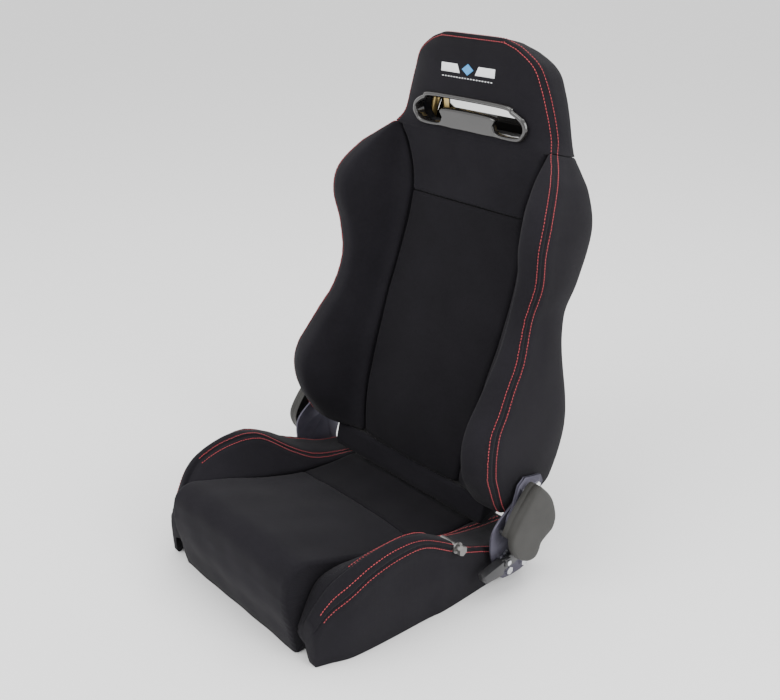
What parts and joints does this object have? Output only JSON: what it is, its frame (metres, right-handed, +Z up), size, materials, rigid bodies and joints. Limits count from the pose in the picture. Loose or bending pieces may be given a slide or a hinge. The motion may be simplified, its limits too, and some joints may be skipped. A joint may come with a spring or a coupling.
{
  "type": "reclining bucket seat",
  "caption": "Reclining sport seat with wrap-round thigh bolsters and side wings, harness slot in the head, lever-locked backrest and slider bolt holes.",
  "frame": {"origin": "centre of the four slider bolt holes, on the underside of the base rails", "axes": "+X towards the occupant's left (the lever side), -Y the way the occupant faces, +Z up"},
  "size_m": [0.6, 0.6258, 0.868],
  "materials": {
    "fabric_main": "fine black knit",
    "fabric_centre": "black woven centre panel",
    "fabric_rear": "black back cloth",
    "frame_steel": "satin black",
    "recliner_steel": "satin dark violet-grey",
    "zinc_frame": "yellow zinc",
    "bright_steel": "polished",
    "spring_wire": "oiled wire",
    "cover_plastic": "fine grain",
    "lever_plastic": "satin",
    "bezel_plastic": "gloss black"
  },
  "bodies": {
    "seat_base": {"side_rail_left": "frame_steel", "side_rail_right": "frame_steel", "front_cross_tube": "frame_steel", "rear_cross_tube": "frame_steel", "cushion_springs": "spring_wire", "slider_weld_nuts": "bright_steel", "cushion_front_pad": "fabric_main", "cushion_rear_pad": "fabric_centre", "rear_skirt": "fabric_rear", "thigh_bolster_left": "fabric_main", "thigh_bolster_right": "fabric_main", "buckle_stud": "bright_steel", "buckle_stud_collar": "bright_steel", "recliner_plate_left": "recliner_steel", "recliner_plate_right": "recliner_steel", "plate_spacers": "frame_steel", "plate_bolts": "bright_steel", "pivot_stud_left": "bright_steel", "pivot_stud_right": "bright_steel", "pivot_nuts": "bright_steel", "return_spring_left": "spring_wire", "return_spring_right": "spring_wire", "lever_return_spring": "spring_wire", "recliner_cover_left": "cover_plastic", "recliner_cover_right": "cover_plastic", "cover_posts": "frame_steel"},
    "backrest": {"back_frame_hoop": "zinc_frame", "back_cross_tubes": "zinc_frame", "lumbar_springs": "spring_wire", "harness_guide_rod": "zinc_frame", "recliner_arm_left": "recliner_steel", "recliner_arm_right": "recliner_steel", "arm_spacers": "frame_steel", "arm_bolts": "bright_steel", "back_insert_pad": "fabric_centre", "back_lower_roll": "fabric_main", "upper_back_pad": "fabric_main", "head_pad": "fabric_main", "back_wing_left": "fabric_main", "back_wing_right": "fabric_main", "back_rear_cover": "fabric_rear", "harness_bezel_front": "bezel_plastic", "harness_bezel_rear": "bezel_plastic", "bezel_screws": "bright_steel"},
    "release": {"recline_lever": "lever_plastic", "release_shaft": "bright_steel", "lock_pawl_left": "bright_steel", "lock_pawl_right": "bright_steel"}
  },
  "joints": [
    {"name": "backrest_recline", "type": "hinge", "parent": "seat_base", "child": "backrest", "pos_m": [0, 0.085, 0.125], "axis": [1, 0, 0], "range_deg": [-55, 45]},
    {"name": "lever_lift", "type": "hinge", "parent": "seat_base", "child": "release", "pos_m": [0, 0.048, 0.058], "axis": [-1, 0, 0], "range_deg": [0, 18], "stiffness_Nm_per_rad": 4, "springref_deg": -20.05}
  ]
}
